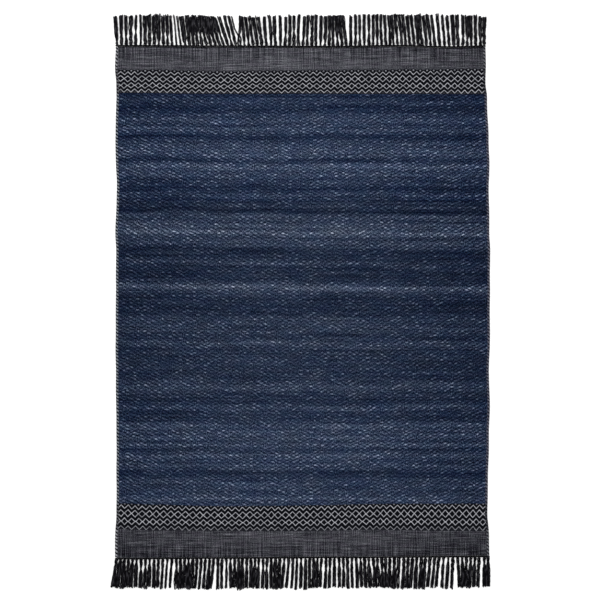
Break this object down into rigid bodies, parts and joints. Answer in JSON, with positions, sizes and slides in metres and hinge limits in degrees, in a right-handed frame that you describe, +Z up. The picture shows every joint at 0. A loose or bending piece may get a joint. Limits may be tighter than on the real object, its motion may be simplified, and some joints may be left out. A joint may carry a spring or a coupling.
{
  "type": "flat-woven wool rug with fringed ends",
  "caption": "Flat-woven wool floor rug lying flat, blue field with grey end panels, black-and-grey diamond bands and knotted black fringes.",
  "frame": {"origin": "on the floor, under the middle of the whole rug with its fringes", "axes": "+Y along the warp towards the far fringe (the top of the picture), +X across the rug to the picture's right, +Z up out of the face"},
  "size_m": [1.7348, 2.6226, 0.007],
  "materials": {
    "woven_wool": "coarse flat-woven wool, matt, mottled blue with black and grey bands",
    "warp_yarn": "black twisted yarn, matt, slightly fuzzy"
  },
  "bodies": {
    "root": {"cloth": "woven_wool", "fringe_far": "warp_yarn", "fringe_near": "warp_yarn"}
  },
  "joints": []
}
